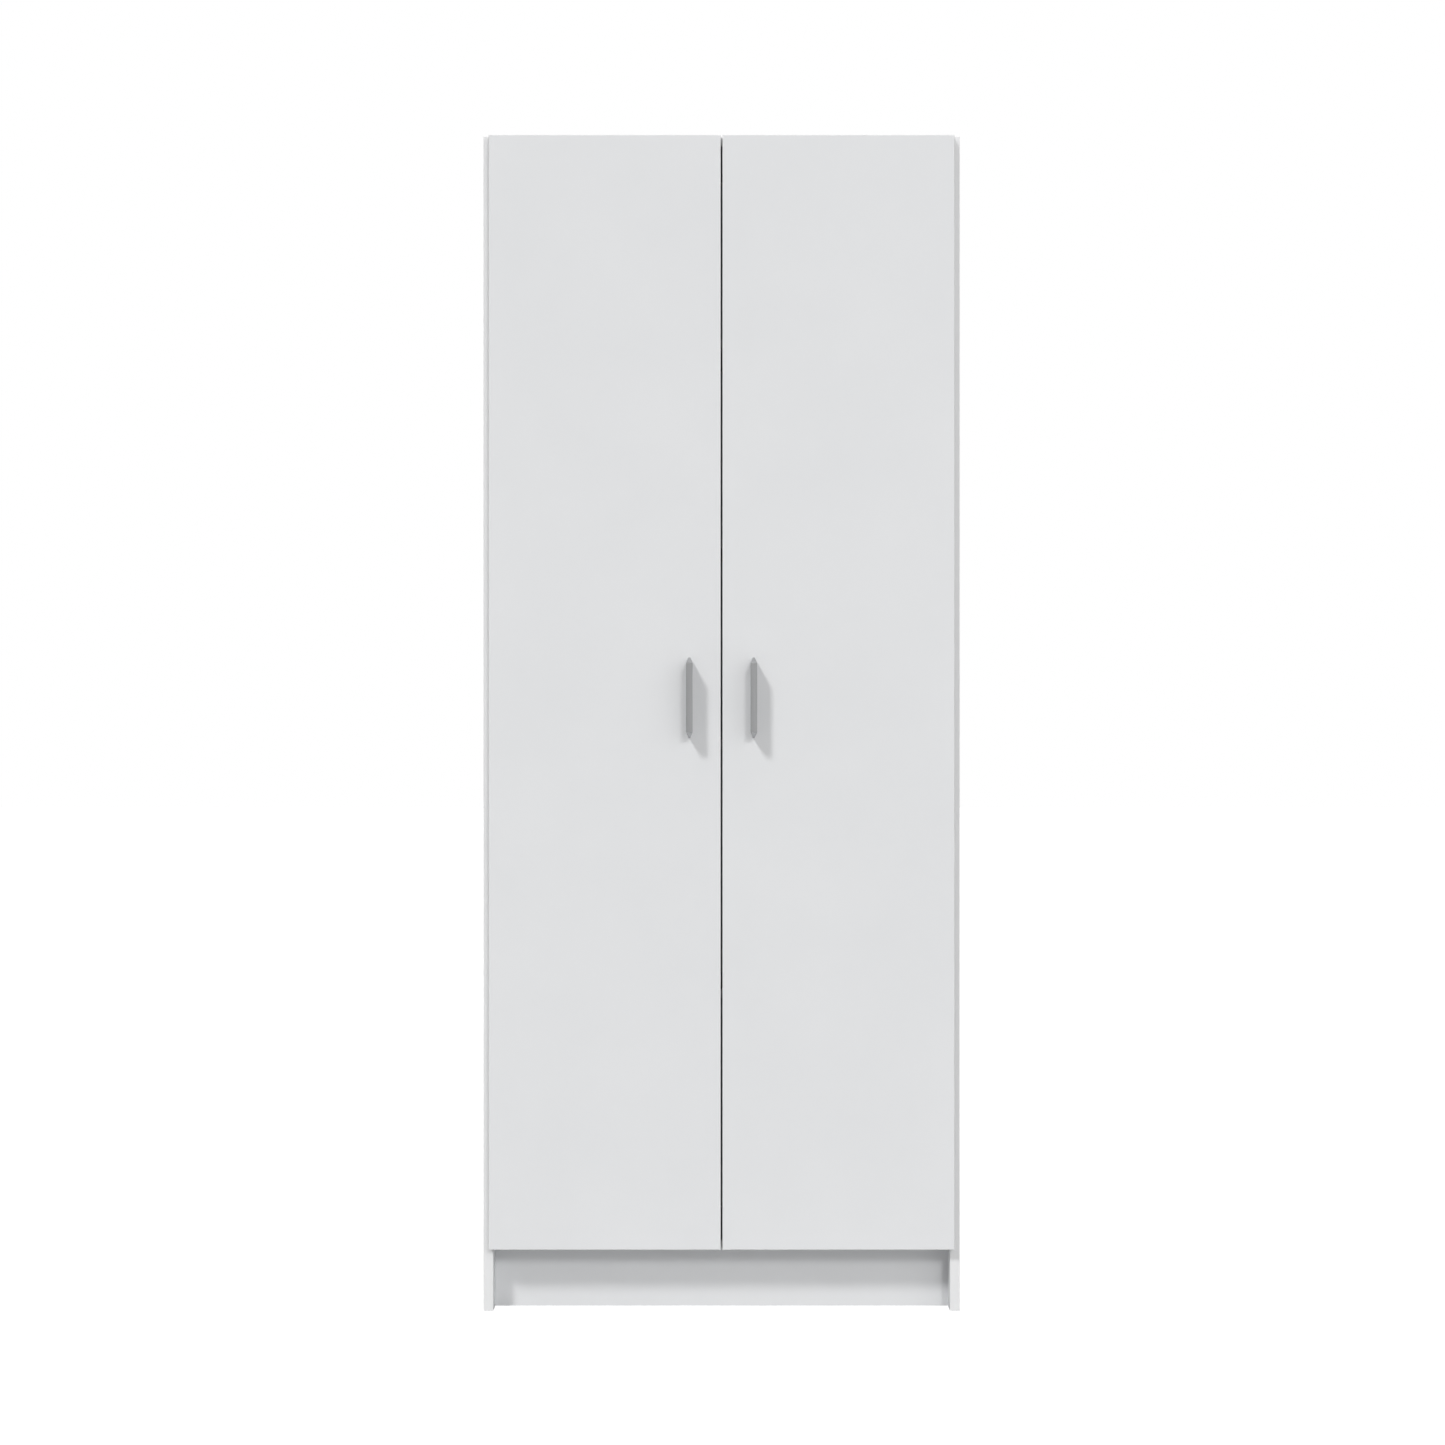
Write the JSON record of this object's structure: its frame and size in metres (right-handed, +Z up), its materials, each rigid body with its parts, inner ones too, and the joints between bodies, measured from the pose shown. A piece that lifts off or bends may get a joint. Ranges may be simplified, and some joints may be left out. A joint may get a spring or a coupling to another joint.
{
  "type": "pantry cabinet",
  "caption": "Tall two-door pantry cabinet in white laminated board, with wedge handles, inner shelves and a recessed plinth.",
  "frame": {"origin": "middle of the footprint, on the floor", "axes": "+Z up, the doors face -Y, +X to the right of someone facing the doors"},
  "size_m": [0.73, 0.407, 1.8],
  "materials": {
    "laminate": "white melamine laminate, satin, on particleboard",
    "hardboard": "white lacquered hardboard, matt",
    "handle": "silver-grey satin",
    "hinge_steel": "nickel-plated pressed steel",
    "screw_zinc": "bright zinc plating",
    "plastic": "white moulded plastic"
  },
  "bodies": {
    "carcass": {"back_joining_strip": "plastic", "back_left": "hardboard", "back_right": "hardboard", "bottom_panel": "laminate", "left_bottom_hinge_arm": "hinge_steel", "left_bottom_hinge_plate": "hinge_steel", "left_door_bumper": "plastic", "left_middle_hinge_arm": "hinge_steel", "left_middle_hinge_plate": "hinge_steel", "left_side": "laminate", "left_top_hinge_arm": "hinge_steel", "left_top_hinge_plate": "hinge_steel", "middle_shelf": "laminate", "plinth": "laminate", "right_bottom_hinge_arm": "hinge_steel", "right_bottom_hinge_plate": "hinge_steel", "right_door_bumper": "plastic", "right_middle_hinge_arm": "hinge_steel", "right_middle_hinge_plate": "hinge_steel", "right_side": "laminate", "right_top_hinge_arm": "hinge_steel", "right_top_hinge_plate": "hinge_steel", "shelf_1": "laminate", "shelf_1_pin_front_left": "hinge_steel", "shelf_1_pin_front_right": "hinge_steel", "shelf_1_pin_rear_left": "hinge_steel", "shelf_1_pin_rear_right": "hinge_steel", "shelf_2": "laminate", "shelf_2_pin_front_left": "hinge_steel", "shelf_2_pin_front_right": "hinge_steel", "shelf_2_pin_rear_left": "hinge_steel", "shelf_2_pin_rear_right": "hinge_steel", "shelf_3": "laminate", "shelf_3_pin_front_left": "hinge_steel", "shelf_3_pin_front_right": "hinge_steel", "shelf_3_pin_rear_left": "hinge_steel", "shelf_3_pin_rear_right": "hinge_steel", "top_panel": "laminate", "wall_bracket": "screw_zinc", "wall_bracket_screw": "screw_zinc"},
    "left_door": {"left_bottom_hinge_cup": "hinge_steel", "left_door": "laminate", "left_handle": "handle", "left_handle_screw_lower": "screw_zinc", "left_handle_screw_upper": "screw_zinc", "left_middle_hinge_cup": "hinge_steel", "left_top_hinge_cup": "hinge_steel"},
    "right_door": {"right_bottom_hinge_cup": "hinge_steel", "right_door": "laminate", "right_handle": "handle", "right_handle_screw_lower": "screw_zinc", "right_handle_screw_upper": "screw_zinc", "right_middle_hinge_cup": "hinge_steel", "right_top_hinge_cup": "hinge_steel"},
    "left_hinge_links": {"left_bottom_hinge_link": "hinge_steel", "left_middle_hinge_link": "hinge_steel", "left_top_hinge_link": "hinge_steel"},
    "right_hinge_links": {"right_bottom_hinge_link": "hinge_steel", "right_middle_hinge_link": "hinge_steel", "right_top_hinge_link": "hinge_steel"}
  },
  "joints": [
    {"name": "left_door_swing", "type": "hinge", "parent": "carcass", "child": "left_door", "pos_m": [-0.351, -0.1635, 0.948], "axis": [0, 0, -1], "range_deg": [0, 110]},
    {"name": "left_hinge_links_swing", "type": "hinge", "parent": "carcass", "child": "left_hinge_links", "pos_m": [-0.331, -0.149, 0.948], "axis": [0, 0, -1], "range_deg": [-50, 0]},
    {"name": "right_door_swing", "type": "hinge", "parent": "carcass", "child": "right_door", "pos_m": [0.351, -0.1635, 0.948], "axis": [0, 0, 1], "range_deg": [0, 110]},
    {"name": "right_hinge_links_swing", "type": "hinge", "parent": "carcass", "child": "right_hinge_links", "pos_m": [0.331, -0.149, 0.948], "axis": [0, 0, 1], "range_deg": [-50, 0]}
  ],
  "couplings": [
    {"joint": "left_hinge_links_swing", "follows": "left_door_swing", "ratio": -0.45},
    {"joint": "right_hinge_links_swing", "follows": "right_door_swing", "ratio": -0.45}
  ]
}
